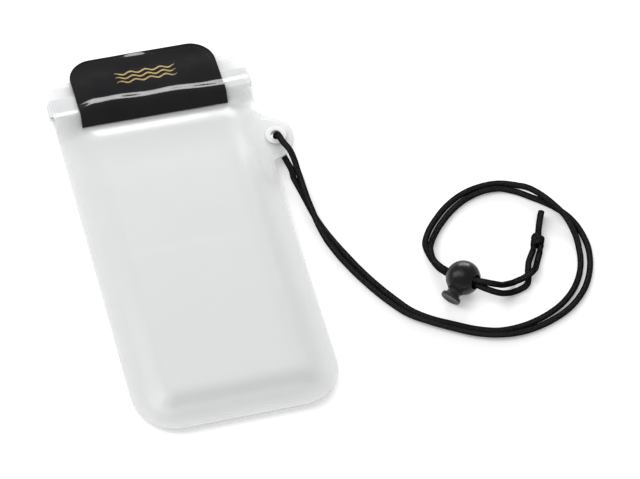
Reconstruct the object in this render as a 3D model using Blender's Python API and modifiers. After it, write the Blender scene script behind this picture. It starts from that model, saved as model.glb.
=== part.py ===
"""A film pouch with a press zip, a black closing flap and a neck cord with a sprung lock.

Metres, +Z up. The pouch lies on its back on z = 0, with +Y towards its mouth.
The origin is under the middle of the pouch, on the surface that it lies on.
"""
import math

import bmesh
import bpy
from mathutils import Matrix, Vector

# Pouch outline
BODY_WIDTH = 0.0945
BODY_LENGTH = 0.1975
BOTTOM_RADIUS = 0.0195
MOUTH_RADIUS = 0.0015
WELD_WIDTH = 0.0045

# Film and the space between touching sheets
FILM = 0.0004
GAP = 0.0003

# Pocket: how high it stands, and how far it takes to rise from the weld
RIM_HEIGHT = 0.0030
POCKET_HEIGHT = 0.0082
SIDE_RISE = 0.0085
BOTTOM_RISE = 0.0060
MOUTH_RISE = 0.0260

# Hanging ear on the right edge
EAR_RADIUS = 0.0136
EAR_BLEND = 0.0030
EAR_INSET = 0.0006
EAR_FROM_MOUTH = 0.05365
EAR_LIFT = 0.0028
EAR_RAMP = 0.0060
EAR_FADE = 0.0120
EYELET_INSET = 0.0085
EYELET_HOLE = 0.0050
EYELET_WIDTH = 0.0100
EYELET_WALL = 0.0005
EYELET_FLANGE = 0.0006
EYELET_PLAY = 0.0003

# Press zip: two ribs that snap into two channels
ZIP_FROM_MOUTH = 0.01725
ZIP_WIDTH = 0.0090
ZIP_OVERHANG = 0.0013
ZIP_TAPE = 0.0006
ZIP_FADE = 0.0035
RIB_PITCH = 0.0036
RIB_HEIGHT = 0.0019
STEM_WIDTH = 0.0005
HEAD_WIDTH = 0.0012
HEAD_HEIGHT = 0.0007
CHANNEL_PLAY = 0.00025
LIP_PLAY = 0.0002
JAW_WALL = 0.00045
LIP_HEIGHT = 0.0004

# Closing flaps, front and back
FLAP_WIDTH = 0.0700
FLAP_ROOT_FROM_MOUTH = 0.02925
FLAP_RADIUS = 0.0115
FLAP_SHEET = 0.0005
STRIP_WIDTH = 0.0500
STRIP_DEPTH = 0.0045
STRIP_SHEET = 0.0010
STRIP_MARGIN = 0.0015
STRIP_PAST_MOUTH = 0.00175

# Edges that bend by more than this stay sharp on round pieces, in degrees
SHARP_ANGLE = 35.0

# Neck cord
CORD_DIAMETER = 0.0029
CORD_STEP = 0.0210
CORD_BEND_STEP = 25.0
CORD_EAR_BEND_STEP = 26.0
CORD_SLACK = 0.0007
CORD_FINE_STEP = 0.0012

# Knot and its two cut ends
KNOT_PLACE = (0.1554, -0.0371, 0.0034)
KNOT_HEADING = 68.0
KNOT_LENGTH = 0.0088
KNOT_WIDTH = 0.0062
KNOT_CORE = 0.0056
KNOT_SQUEEZE = 0.86
KNOT_TURN_OFFSET = 0.0017
KNOT_LEAN = 22.0
TAIL_LENGTH = 0.0122
TAIL_DRIFT = 0.0003
KNOT_CLEARANCE = 0.0005

# Cord lock: a hollow ball with a sprung button through it
BALL_DIAMETER = 0.0160
BALL_PLACE = (0.11447, -0.05186)
BALL_WALL = 0.0010
BORE_DIAMETER = 0.0087
BORE_FLOOR = -0.0057
MOUTH_DIAMETER = 0.0069
MOUTH_LIP = 0.0053
SEAT_DIAMETER = 0.0052
CORD_HOLE = 0.0068
BUTTON_PLAY = 0.00025
BUTTON_TRAVEL = 0.0020
BUTTON_HEAD = 0.0094
BUTTON_HEAD_SHEET = 0.0018
BUTTON_HEAD_PLACE = 0.0121
BUTTON_NECK = 0.0064
BUTTON_END_WALL = 0.0009
WINDOW_WIDTH = 0.0067
WINDOW_PLAY = 0.0004
SPRING_WIRE = 0.00035
SPRING_TURNS = 2.5

# The lock's directions, seen from above: the way the cord runs through it and its roll about that
LOCK_HEADING = -51.7
LOCK_RISE = 21.6
LOCK_ROLL = 15.1
# The cord runs straight through the lock. Each row: a place from the ball's middle, and how far the
# strands have turned there from the way they lie in the button.
LOCK_ROWS = ((-0.009, 0), (-0.0042, 0), (0.0042, 0), (0.009, -22))

# Cord route, from the ear to the lock and from the lock to the knot. Its two strands run side by side.
# Each row: x, y, height of the lower strand above the surface, spacing of the strands, and their turn.
# A turn of 0 is side by side, 90 has the back strand on top and 270 the front strand.
CORD_ROUTE = (
    (0.0561, 0.0229, 0.0000, 0.0034, -135),
    (0.0567, 0.0156, 0.0000, 0.0033, -108),
    (0.0573, 0.0085, 0.0000, 0.0032, -90),
    (0.0581, 0.0014, 0.0000, 0.0033, -78),
    (0.0598, -0.0079, 0.0000, 0.0033, -50),
    (0.0618, -0.0149, 0.0000, 0.0034, -30),
    (0.0656, -0.0246, 0.0000, 0.0034, -14),
    (0.0728, -0.0396, 0.0000, 0.0033, -12),
    (0.0809, -0.0528, 0.0000, 0.0033, -12),
    (0.0871, -0.0610, 0.0000, 0.0033, -22),
    (0.0944, -0.0668, 0.0000, 0.0032, -30),
    (0.1037, -0.0722, 0.0000, 0.0032, -24),
    (0.1136, -0.0773, 0.0000, 0.0032, -22),
    (0.1239, -0.0805, 0.0000, 0.0032, -24),
    (0.1355, -0.0806, 0.0000, 0.0033, -9),
    (0.1480, -0.0776, 0.0000, 0.0035, 0),
    (0.1595, -0.0719, 0.0000, 0.0041, 0),
    (0.1685, -0.0632, 0.0000, 0.0044, 0),
    (0.1739, -0.0529, 0.0000, 0.0044, 0),
    (0.1758, -0.0442, 0.0000, 0.0044, 0),
    (0.1757, -0.0353, 0.0000, 0.0034, 12),
    (0.1733, -0.0265, 0.0000, 0.0034, 45),
    (0.1686, -0.0190, 0.0000, 0.0034, 75),
    (0.1625, -0.0120, 0.0000, 0.0036, 115),
    (0.1556, -0.0056, 0.0000, 0.0036, 175),
    (0.1480, -0.0024, 0.0000, 0.0033, 188),
    (0.1393, -0.0021, 0.0000, 0.0032, 190),
    (0.1299, -0.0044, 0.0000, 0.0033, 182),
    (0.1214, -0.0091, 0.0000, 0.0034, 180),
    (0.1147, -0.0148, 0.0000, 0.0034, 184),
    (0.1093, -0.0208, 0.0000, 0.0034, 188),
    (0.1060, -0.0262, 0.0000, 0.0034, 212),
    (0.1049, -0.0312, 0.0000, 0.0034, 260),
    (0.1052, -0.0365, 0.0000, 0.0033, 285),
)
CORD_ROUTE_TO_KNOT = (
    (0.1264, -0.0614, 0.0072, 0.0034, 225),
    (0.1303, -0.0609, 0.0044, 0.0040, 206),
    (0.1345, -0.0592, 0.0014, 0.0046, 192),
    (0.1388, -0.0578, 0.0000, 0.0044, 186),
    (0.1425, -0.0571, 0.0000, 0.0038, 215),
    (0.1457, -0.0549, 0.0000, 0.0035, 270),
    (0.1483, -0.0509, 0.0000, 0.0036, 330),
    (0.1503, -0.0468, 0.0000, 0.0038, 360),
)
# Through the eyelet, from the strand over the ear to the one under it: the place along x and y from
# the hole's axis, and the cord's rise above the eyelet's upper face or drop below its lower face.
CORD_OVER_EAR = (
    (0.0053, -0.0192, -0.0044),
    (0.0051, -0.0150, -0.0034),
    (0.0036, -0.0113, 0.0002),
    (0.0013, -0.0066, 0.0015),
    (0.0002, -0.0014, 0.0005),
)
CORD_UNDER_EAR = (
    (0.0005, -0.0010, 0.0003),
    (0.0012, -0.0046, -0.0016),
    (0.0024, -0.0110, -0.0020),
    (0.0034, -0.0178, -0.0020),
)


def clear_scene():
    for thing in list(bpy.data.objects):
        bpy.data.objects.remove(thing, do_unlink=True)


def make_collection(name):
    collection = bpy.data.collections.new(name)
    bpy.context.scene.collection.children.link(collection)
    return collection


clear_scene()
PARTS = make_collection("phone_pouch")
CUTTERS = make_collection("cutters")


def plastic(name, colour, roughness, metallic=0.0, alpha=1.0):
    material = bpy.data.materials.new(name)
    material.use_nodes = True
    shader = material.node_tree.nodes["Principled BSDF"]
    shader.inputs["Base Color"].default_value = (*colour, 1.0)
    shader.inputs["Roughness"].default_value = roughness
    shader.inputs["Metallic"].default_value = metallic
    shader.inputs["Alpha"].default_value = alpha
    material.diffuse_color = (*colour, alpha)
    return material


def add_object(name, mesh, material=None, collection=None):
    thing = bpy.data.objects.new(name, mesh)
    (collection or PARTS).objects.link(thing)
    if material:
        mesh.materials.append(material)
    return thing


def add_cutter(name, mesh):
    cutter = add_object(name, mesh, collection=CUTTERS)
    cutter.hide_render = True
    cutter.display_type = "WIRE"
    return cutter


def cut(thing, cutter, operation="DIFFERENCE"):
    boolean = thing.modifiers.new(cutter.name, "BOOLEAN")
    boolean.operation = operation
    boolean.solver = "EXACT"
    boolean.object = cutter


def ramp(value, start, end):
    """0 up to start, 1 from end on, and an even S between them"""
    t = min(max((value - start) / (end - start), 0.0), 1.0)
    return t * t * (3.0 - 2.0 * t)


def arc(centre, radius, start, end, steps):
    """points of an arc, with its angles in degrees"""
    points = []
    for i in range(steps + 1):
        angle = math.radians(start + (end - start) * i / steps)
        points.append((centre[0] + radius * math.cos(angle), centre[1] + radius * math.sin(angle)))
    return points


# Values that follow from the sizes above
HALF_WIDTH = BODY_WIDTH / 2
HALF_LENGTH = BODY_LENGTH / 2
POCKET_HALF = HALF_WIDTH - WELD_WIDTH
POCKET_BOTTOM = -HALF_LENGTH + WELD_WIDTH
ZIP_Y = HALF_LENGTH - ZIP_FROM_MOUTH
POCKET_END = ZIP_Y - ZIP_WIDTH / 2
FLAP_ROOT_Y = HALF_LENGTH - FLAP_ROOT_FROM_MOUTH
STRIP_Y = HALF_LENGTH + STRIP_PAST_MOUTH
FLAP_TOP_Y = STRIP_Y + STRIP_DEPTH + STRIP_MARGIN
EAR_Y = HALF_LENGTH - EAR_FROM_MOUTH
EAR_X = HALF_WIDTH - EAR_INSET
EYELET_X = EAR_X + EAR_RADIUS - EYELET_INSET
EYELET_Y = EAR_Y - EAR_INSET
EAR_FLAT_X = EYELET_X - EYELET_WIDTH / 2 - GAP
ZIP_FLAT = ZIP_WIDTH / 2 + GAP
ZIP_STACK = 2 * ZIP_TAPE + RIB_HEIGHT + CHANNEL_PLAY
FILM_STEP = FILM + GAP


def pocket_form(x, y):
    """0 on the weld and 1 over the room for the phone"""
    side = ramp(POCKET_HALF - abs(x), 0.0, SIDE_RISE)
    bottom = ramp(y - POCKET_BOTTOM, 0.0, BOTTOM_RISE)
    mouth = ramp(POCKET_END - y, 0.0, MOUTH_RISE)
    return side * bottom * mouth


def ear_form(x, y):
    """1 round the eyelet, fading into the body"""
    across = ramp(x, EAR_FLAT_X - EAR_RAMP, EAR_FLAT_X)
    along = 1.0 - ramp(abs(y - EAR_Y), EAR_RADIUS, EAR_RADIUS + EAR_FADE)
    return across * along


def zip_form(y):
    return 1.0 - ramp(abs(y - ZIP_Y), ZIP_FLAT, ZIP_FLAT + ZIP_FADE)


def back_film_level(x, y):
    return RIM_HEIGHT * (1.0 - pocket_form(x, y)) + EAR_LIFT * ear_form(x, y)


def front_film_level(x, y):
    rim = RIM_HEIGHT + FILM_STEP
    pocket = (POCKET_HEIGHT - rim) * pocket_form(x, y)
    over_zip = (ZIP_STACK + GAP) * zip_form(y)
    return rim + pocket + over_zip + EAR_LIFT * ear_form(x, y)


def back_flap_level(x, y):
    return back_film_level(x, y) - GAP - FLAP_SHEET


def loop_strip_level(x, y):
    return back_flap_level(x, y) + FLAP_SHEET + GAP


def hook_strip_level(x, y):
    return loop_strip_level(x, y) + STRIP_SHEET + GAP


def front_flap_level(x, y):
    on_film = front_film_level(x, y) + FILM_STEP
    on_strips = hook_strip_level(x, y) + STRIP_SHEET + GAP
    past_zip = ramp(y, ZIP_Y + ZIP_FLAT, HALF_LENGTH)
    return on_film + (on_strips - on_film) * past_zip


def body_outline():
    """the films' outline, counter-clockwise from the bottom left corner"""
    inner_x = HALF_WIDTH - BOTTOM_RADIUS
    low_y = -HALF_LENGTH + BOTTOM_RADIUS
    reach = EAR_RADIUS + EAR_BLEND
    blend_x = HALF_WIDTH + EAR_BLEND
    blend_rise = math.sqrt(reach ** 2 - (blend_x - EAR_X) ** 2)
    turn = math.degrees(math.atan2(blend_rise, blend_x - EAR_X))
    points = arc((-inner_x, low_y), BOTTOM_RADIUS, 180, 270, 8)
    points += arc((inner_x, low_y), BOTTOM_RADIUS, 270, 360, 8)
    points += arc((blend_x, EAR_Y - blend_rise), EAR_BLEND, 180, 180 - turn, 3)
    points += arc((EAR_X, EAR_Y), EAR_RADIUS, -turn, turn, 14)[1:-1]
    points += arc((blend_x, EAR_Y + blend_rise), EAR_BLEND, 180 + turn, 180, 3)
    corner_x = HALF_WIDTH - MOUTH_RADIUS
    corner_y = HALF_LENGTH - MOUTH_RADIUS
    points += arc((corner_x, corner_y), MOUTH_RADIUS, 0, 90, 2)
    points += arc((-corner_x, corner_y), MOUTH_RADIUS, 90, 180, 2)
    return points


def flap_outline():
    half = FLAP_WIDTH / 2
    centre_y = FLAP_TOP_Y - FLAP_RADIUS
    points = [(-half, FLAP_ROOT_Y), (half, FLAP_ROOT_Y)]
    points += arc((half - FLAP_RADIUS, centre_y), FLAP_RADIUS, 0, 90, 7)
    points += arc((-half + FLAP_RADIUS, centre_y), FLAP_RADIUS, 90, 180, 7)
    return points


def strip_outline():
    half = STRIP_WIDTH / 2
    top = STRIP_Y + STRIP_DEPTH
    return [(-half, STRIP_Y), (half, STRIP_Y), (half, top), (-half, top)]


def spread(start, end, steps):
    return [start + (end - start) * i / steps for i in range(steps + 1)]


def film_columns():
    slope = spread(POCKET_HALF - SIDE_RISE, POCKET_HALF, 3)
    columns = [0.0, slope[0] / 2, -slope[0] / 2]
    columns += slope + [-x for x in slope]
    return columns + spread(EAR_FLAT_X - EAR_RAMP, EAR_FLAT_X, 2)


def film_rows():
    ear_low = EAR_Y - EAR_RADIUS
    ear_high = EAR_Y + EAR_RADIUS
    rows = spread(POCKET_BOTTOM, POCKET_BOTTOM + BOTTOM_RISE, 3)
    rows += spread(POCKET_BOTTOM + BOTTOM_RISE, ear_low - EAR_FADE, 3)[1:]
    rows += [ear_low - EAR_FADE / 2, ear_low, ear_high, ear_high + EAR_FADE / 2]
    rows += spread(POCKET_END - MOUTH_RISE, POCKET_END, 4)
    return rows + zip_rows()


def zip_rows():
    rise = spread(ZIP_FLAT, ZIP_FLAT + ZIP_FADE, 2)
    return [ZIP_Y - y for y in rise] + [ZIP_Y + y for y in rise]


def flap_rows():
    rows = spread(POCKET_END - MOUTH_RISE, POCKET_END, 4) + zip_rows()
    return rows + spread(ZIP_Y + ZIP_FLAT + ZIP_FADE, HALF_LENGTH, 2)


def shaped_sheet(name, outline, columns, rows, level, thickness, material):
    """a flat outline, cut into a grid, laid over a form and given its thickness upwards"""
    sheet = bmesh.new()
    sheet.faces.new([sheet.verts.new((x, y, 0.0)) for x, y in outline])
    cuts = [(Vector((x, 0, 0)), Vector((1, 0, 0))) for x in columns]
    cuts += [(Vector((0, y, 0)), Vector((0, 1, 0))) for y in rows]
    for place, direction in cuts:
        everything = sheet.verts[:] + sheet.edges[:] + sheet.faces[:]
        bmesh.ops.bisect_plane(sheet, geom=everything, dist=1e-7, plane_co=place, plane_no=direction)
    bmesh.ops.triangulate(sheet, faces=sheet.faces[:])
    for corner in sheet.verts:
        corner.co.z = level(corner.co.x, corner.co.y)
    mesh = bpy.data.meshes.new(name)
    sheet.to_mesh(mesh)
    sheet.free()
    thing = add_object(name, mesh, material)
    wall = thing.modifiers.new("thickness", "SOLIDIFY")
    wall.thickness = thickness
    wall.offset = 1.0
    return thing


def pin(name, place, radius, height, steps=24):
    """an upright cylinder to cut with"""
    shape = bmesh.new()
    bmesh.ops.create_cone(shape, cap_ends=True, segments=steps, radius1=radius, radius2=radius, depth=height)
    mesh = bpy.data.meshes.new(name)
    shape.to_mesh(mesh)
    shape.free()
    cutter = add_cutter(name, mesh)
    cutter.location = place
    return cutter


def make_films(film_material):
    hole_radius = EYELET_HOLE / 2 + EYELET_WALL + EYELET_PLAY
    place = (EYELET_X, EYELET_Y, RIM_HEIGHT + EAR_LIFT + FILM)
    for name, level in (("back_film", back_film_level), ("front_film", front_film_level)):
        film = shaped_sheet(name, body_outline(), film_columns(), film_rows(), level, FILM, film_material)
        cut(film, pin(name + "_eyelet_hole", place, hole_radius, 0.02))


def make_flaps(flap_material, hook_material, loop_material):
    columns = [-FLAP_WIDTH / 4, 0.0, FLAP_WIDTH / 4]
    columns += [POCKET_HALF - SIDE_RISE, -(POCKET_HALF - SIDE_RISE)]
    outline = flap_outline()
    shaped_sheet("front_flap", outline, columns, flap_rows(), front_flap_level, FLAP_SHEET, flap_material)
    shaped_sheet("back_flap", outline, columns, flap_rows(), back_flap_level, FLAP_SHEET, flap_material)
    strip = strip_outline()
    shaped_sheet("hook_strip", strip, [0.0], [], hook_strip_level, STRIP_SHEET, hook_material)
    shaped_sheet("loop_strip", strip, [0.0], [], loop_strip_level, STRIP_SHEET, loop_material)


def along_x(name, section, length, material):
    """a closed section of (y, z) points, drawn out along X"""
    shape = bmesh.new()
    face = shape.faces.new([shape.verts.new((-length / 2, y, z)) for y, z in section])
    drawn = bmesh.ops.extrude_face_region(shape, geom=[face])["geom"]
    moved = [item for item in drawn if isinstance(item, bmesh.types.BMVert)]
    bmesh.ops.translate(shape, verts=moved, vec=(length, 0, 0))
    bmesh.ops.recalc_face_normals(shape, faces=shape.faces[:])
    mesh = bpy.data.meshes.new(name)
    shape.to_mesh(mesh)
    shape.free()
    return add_object(name, mesh, material)


def zip_rib_section():
    """tape below, with arrow-headed ribs standing on it"""
    base = RIM_HEIGHT + FILM_STEP
    top = base + ZIP_TAPE
    points = [(ZIP_Y - ZIP_WIDTH / 2, base), (ZIP_Y + ZIP_WIDTH / 2, base), (ZIP_Y + ZIP_WIDTH / 2, top)]
    for side in (1, -1):
        y = ZIP_Y + side * RIB_PITCH / 2
        shoulder = top + RIB_HEIGHT - HEAD_HEIGHT
        half = [(STEM_WIDTH / 2, top), (STEM_WIDTH / 2, shoulder), (HEAD_WIDTH / 2, shoulder)]
        half += [(STEM_WIDTH / 2, top + RIB_HEIGHT)]
        points += [(y + offset, z) for offset, z in half]
        points += [(y - offset, z) for offset, z in reversed(half)]
    points.append((ZIP_Y - ZIP_WIDTH / 2, top))
    return points


def zip_channel_section():
    """tape above, with pairs of jaws that hook under the ribs' heads"""
    base = RIM_HEIGHT + FILM_STEP + ZIP_TAPE
    under = base + RIB_HEIGHT + CHANNEL_PLAY
    top = under + ZIP_TAPE
    inside = HEAD_WIDTH / 2 + CHANNEL_PLAY
    outside = inside + JAW_WALL
    lip = STEM_WIDTH / 2 + LIP_PLAY
    foot = base + GAP
    points = [(ZIP_Y + ZIP_WIDTH / 2, top), (ZIP_Y - ZIP_WIDTH / 2, top), (ZIP_Y - ZIP_WIDTH / 2, under)]
    for side in (-1, 1):
        y = ZIP_Y + side * RIB_PITCH / 2
        half = [(outside, under), (outside, foot), (lip, foot), (lip, foot + LIP_HEIGHT)]
        half += [(inside, foot + LIP_HEIGHT), (inside, under)]
        points += [(y - offset, z) for offset, z in half]
        points += [(y + offset, z) for offset, z in reversed(half)]
    points.append((ZIP_Y + ZIP_WIDTH / 2, under))
    return points


def make_zip(zip_material):
    length = BODY_WIDTH + 2 * ZIP_OVERHANG
    along_x("zip_rib_strip", zip_rib_section(), length, zip_material)
    along_x("zip_channel_strip", zip_channel_section(), length, zip_material)


def turned(name, profile, steps, material, closed=False):
    """a profile of (radius, z) points, top to bottom, turned about Z"""
    mesh = bpy.data.meshes.new(name)
    edges = [(i, i + 1) for i in range(len(profile) - 1)]
    if closed:
        edges.append((len(profile) - 1, 0))
    mesh.from_pydata([(radius, 0.0, z) for radius, z in profile], edges, [])
    thing = add_object(name, mesh, material)
    screw = thing.modifiers.new("turn", "SCREW")
    screw.axis = "Z"
    screw.steps = steps
    screw.render_steps = steps
    screw.use_merge_vertices = True
    screw.merge_threshold = 0.00001
    return thing


def eyelet_faces():
    """heights of the eyelet's lower and upper face"""
    film_low = RIM_HEIGHT + EAR_LIFT
    film_high = film_low + FILM_STEP + FILM
    return film_low - GAP - EYELET_FLANGE, film_high + GAP + EYELET_FLANGE


def make_eyelet(eyelet_material):
    low, high = eyelet_faces()
    bore = EYELET_HOLE / 2
    barrel = bore + EYELET_WALL
    rim = EYELET_WIDTH / 2
    soft = EYELET_FLANGE / 3
    half = [(bore + soft, high), (rim - soft, high), (rim, high - soft), (rim, high - EYELET_FLANGE)]
    half += [(barrel, high - EYELET_FLANGE)]
    lower = [(radius, low + high - z) for radius, z in reversed(half)]
    profile = half + lower + [(bore, low + soft), (bore, high - soft)]
    eyelet = turned("eyelet", profile, 28, eyelet_material, closed=True)
    eyelet.location = (EYELET_X, EYELET_Y, 0.0)


def smooth_slopes(points):
    """slope at each point of a curve through unevenly spaced points"""
    lengths = [max((b - a).length, 1e-9) for a, b in zip(points, points[1:])]
    runs = [(b - a) / length for a, b, length in zip(points, points[1:], lengths)]
    slopes = [runs[0]]
    for i in range(1, len(runs)):
        before, after = lengths[i - 1], lengths[i]
        slopes.append((runs[i - 1] * after + runs[i] * before) / (before + after))
    slopes.append(runs[-1])
    return lengths, slopes


def on_curve(a, b, slope_a, slope_b, length, t):
    """a point between a and b on the smooth curve"""
    s = 1.0 - t
    start = a * (s * s * (1 + 2 * t)) + slope_a * (length * t * s * s)
    end = b * (t * t * (3 - 2 * t)) - slope_b * (length * t * t * s)
    return start + end


def lock_frame():
    """the lock's own frame: X runs with the cord, Y from strand to strand, Z out of the button"""
    heading, rise = math.radians(LOCK_HEADING), math.radians(LOCK_RISE)
    along = Vector((math.cos(heading) * math.cos(rise), math.sin(heading) * math.cos(rise), math.sin(rise)))
    side = Vector((0, 0, 1)).cross(along).normalized()
    stacked = along.cross(side)
    roll = math.radians(LOCK_ROLL)
    strands = stacked * math.cos(roll) - side * math.sin(roll)
    out = along.cross(strands)
    frame = Matrix((along, strands, out)).transposed().to_4x4()
    frame.translation = (*BALL_PLACE, BALL_DIAMETER / 2)
    return frame


def upright_share(turn):
    """how far the strands' turn stacks them"""
    return abs(math.sin(math.radians(turn)))


def route_rows():
    """the pair's route as points (x, y, height of the lower strand) and as spacings and turns"""
    spacing = CORD_DIAMETER + GAP
    in_lock = []
    for reach, further in LOCK_ROWS:
        place = lock_frame() @ Vector((reach, 0, 0))
        turn = 270 + LOCK_ROLL + further
        below = CORD_DIAMETER / 2 + spacing / 2 * upright_share(turn)
        in_lock.append((place.x, place.y, place.z - below, spacing, turn))
    at_knot = knot_frame() @ Vector((-KNOT_LENGTH / 2 - KNOT_CLEARANCE, 0, 0))
    last = (at_knot.x, at_knot.y, KNOT_PLACE[2] / 5, spacing, 360)
    rows = [*CORD_ROUTE, *in_lock, *CORD_ROUTE_TO_KNOT, last]
    return [Vector(row[:3]) for row in rows], [Vector(row[3:]) for row in rows]


def strands():
    """the front and the back strand in fine points from the ear to the knot, and which lie at the lock"""
    places, pairs = route_rows()
    lengths, slopes = smooth_slopes(places)
    middles, at_lock = [], []
    for i, length in enumerate(lengths):
        if 0 <= i - len(CORD_ROUTE) <= 3:
            at_lock.append(len(middles))
        steps = math.ceil(length / CORD_FINE_STEP)
        for step in range(steps + (i == len(lengths) - 1)):
            place = on_curve(places[i], places[i + 1], slopes[i], slopes[i + 1], length, step / steps)
            spacing, turn = pairs[i].lerp(pairs[i + 1], step / steps)
            place.z = max(place.z, 0.0) + CORD_DIAMETER / 2 + spacing / 2 * upright_share(turn)
            middles.append((place, spacing, turn))
    front, back = [], []
    for i, (place, spacing, turn) in enumerate(middles):
        along = (middles[min(i + 1, len(middles) - 1)][0] - middles[max(i - 1, 0)][0]).normalized()
        side = Vector((0, 0, 1)).cross(along).normalized()
        angle = math.radians(turn)
        apart = (side * math.cos(angle) + along.cross(side) * math.sin(angle)) * spacing / 2
        front.append(place - apart)
        back.append(place + apart)
    return front, back, at_lock


def slack(lines, first, last):
    """how far the two strands' distance strays from that of straight runs between two points"""
    apart = [b - a for a, b in zip(*lines)]
    worst = 0.0
    for i in range(first + 1, last):
        straight = apart[first].lerp(apart[last], (i - first) / (last - first))
        worst = max(worst, (apart[i] - straight).length)
    return worst


def thinned(lines, bend_step, wanted=()):
    """the lines with points only where they are needed, the same ones in each"""
    kept = [0]
    for i in range(1, len(lines[0]) - 1):
        last = kept[-1]
        far = max((line[i + 1] - line[last]).length for line in lines)
        bend = max((line[last + 1] - line[last]).angle(line[i + 1] - line[i]) for line in lines)
        loose = len(lines) == 2 and slack(lines, last, i + 1) > CORD_SLACK
        if far > CORD_STEP or math.degrees(bend) > bend_step or loose or i in wanted:
            kept.append(i)
    kept.append(len(lines[0]) - 1)
    return [[line[i] for i in kept] for line in lines]


def cord_points():
    """the whole cord, from the knot up the front strand, through the eyelet and down the back strand"""
    front, back, at_lock = strands()
    low, high = eyelet_faces()
    radius = CORD_DIAMETER / 2
    hole = Vector((EYELET_X, EYELET_Y, 0.0))
    over = [hole + Vector((x, y, high + radius + rise)) for x, y, rise in CORD_OVER_EAR]
    under = [hole + Vector((x, y, max(low - radius + rise, radius))) for x, y, rise in CORD_UNDER_EAR]
    bend = [front[1], front[0]] + over + [hole + Vector((0, 0, (low + high) / 2))] + under
    bend += [back[0], back[1]]
    lengths, slopes = smooth_slopes(bend)
    turn = []
    for i in range(1, len(bend) - 2):
        steps = math.ceil(lengths[i] / CORD_FINE_STEP * 2)
        for step in range(steps):
            turn.append(on_curve(bend[i], bend[i + 1], slopes[i], slopes[i + 1], lengths[i], step / steps))
    turn.append(bend[-2])
    front, back = thinned([front, back], CORD_BEND_STEP, at_lock)
    turn = thinned([turn], CORD_EAR_BEND_STEP)[0]
    return front[:0:-1] + turn + back[1:]


def tube(name, points, diameter, material=None, collection=None):
    curve = bpy.data.curves.new(name, "CURVE")
    curve.dimensions = "3D"
    curve.bevel_depth = diameter / 2
    curve.bevel_resolution = 2
    curve.use_fill_caps = True
    spline = curve.splines.new("POLY")
    spline.points.add(len(points) - 1)
    for corner, place in zip(spline.points, points):
        corner.co = (*place, 1.0)
    thing = bpy.data.objects.new(name, curve)
    (collection or PARTS).objects.link(thing)
    if material:
        curve.materials.append(material)
    return thing


def as_mesh(thing):
    """the same object as a closed mesh, with its caps welded"""
    bpy.context.view_layer.update()
    evaluated = thing.evaluated_get(bpy.context.evaluated_depsgraph_get())
    mesh = bpy.data.meshes.new_from_object(evaluated)
    shape = bmesh.new()
    shape.from_mesh(mesh)
    bmesh.ops.remove_doubles(shape, verts=shape.verts[:], dist=0.000001)
    bmesh.ops.recalc_face_normals(shape, faces=shape.faces[:])
    shape.to_mesh(mesh)
    shape.free()
    name, place = thing.name, thing.matrix_world.copy()
    collection = thing.users_collection[0]
    bpy.data.objects.remove(thing, do_unlink=True)
    solid = bpy.data.objects.new(name, mesh)
    collection.objects.link(solid)
    solid.matrix_world = place
    return solid


def knot_frame():
    heading = math.radians(KNOT_HEADING)
    frame = Matrix.Rotation(heading, 4, "Z")
    frame.translation = KNOT_PLACE
    return frame


def knot_turn(offset, lean):
    """one of the knot's two turns, leaning to one side"""
    radius = CORD_DIAMETER / 2 * KNOT_SQUEEZE
    ring = bmesh.new()
    profile = arc((KNOT_WIDTH / 2 - radius, 0.0), radius, 0, 360, 8)[:-1]
    corners = [ring.verts.new((0.0, r, z)) for r, z in profile]
    loop = [ring.edges.new((corners[i - 1], corners[i])) for i in range(len(corners))]
    bmesh.ops.spin(ring, geom=corners + loop, axis=(0, 0, 1), angle=math.tau, steps=18, use_merge=True)
    bmesh.ops.remove_doubles(ring, verts=ring.verts[:], dist=0.000001)
    tilt = Matrix.Rotation(math.radians(90), 4, "Y") @ Matrix.Rotation(math.radians(lean), 4, "X")
    bmesh.ops.transform(ring, matrix=tilt, verts=ring.verts[:])
    bmesh.ops.translate(ring, vec=(offset, 0, 0), verts=ring.verts[:])
    bmesh.ops.recalc_face_normals(ring, faces=ring.faces[:])
    mesh = bpy.data.meshes.new("knot_turn")
    ring.to_mesh(mesh)
    ring.free()
    return add_cutter("knot_turn", mesh)


def knot_end(height):
    """one of the cord's cut ends, from inside the knot out to where it was cut"""
    start = Vector((0, 0, height / 2))
    middle = Vector((KNOT_LENGTH / 2 + TAIL_LENGTH / 2, 0, height))
    end = Vector((KNOT_LENGTH / 2 + TAIL_LENGTH, -TAIL_DRIFT, height))
    strand = as_mesh(tube("knot_end", [start, middle, end], CORD_DIAMETER, collection=CUTTERS))
    strand.hide_render = True
    strand.display_type = "WIRE"
    return strand


def make_knot(cord_material):
    """an overhand knot as one closed lump of two turns, with two cut ends past it"""
    core = bmesh.new()
    bmesh.ops.create_uvsphere(core, u_segments=20, v_segments=10, radius=KNOT_LENGTH / 2)
    share = KNOT_CORE / KNOT_LENGTH
    bmesh.ops.scale(core, vec=(1, share, share), verts=core.verts[:])
    mesh = bpy.data.meshes.new("cord_knot")
    core.to_mesh(mesh)
    core.free()
    knot = add_object("cord_knot", mesh, cord_material)
    lower = CORD_DIAMETER / 2 - KNOT_PLACE[2]
    pieces = [knot_turn(-KNOT_TURN_OFFSET, KNOT_LEAN), knot_turn(KNOT_TURN_OFFSET, -KNOT_LEAN)]
    pieces += [knot_end(lower), knot_end(lower + CORD_DIAMETER + GAP)]
    for piece in [knot, *pieces]:
        piece.matrix_world = knot_frame()
    for piece in pieces:
        cut(knot, piece, "UNION")


def make_cord(cord_material):
    tube("neck_cord", cord_points(), CORD_DIAMETER, cord_material)


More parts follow.
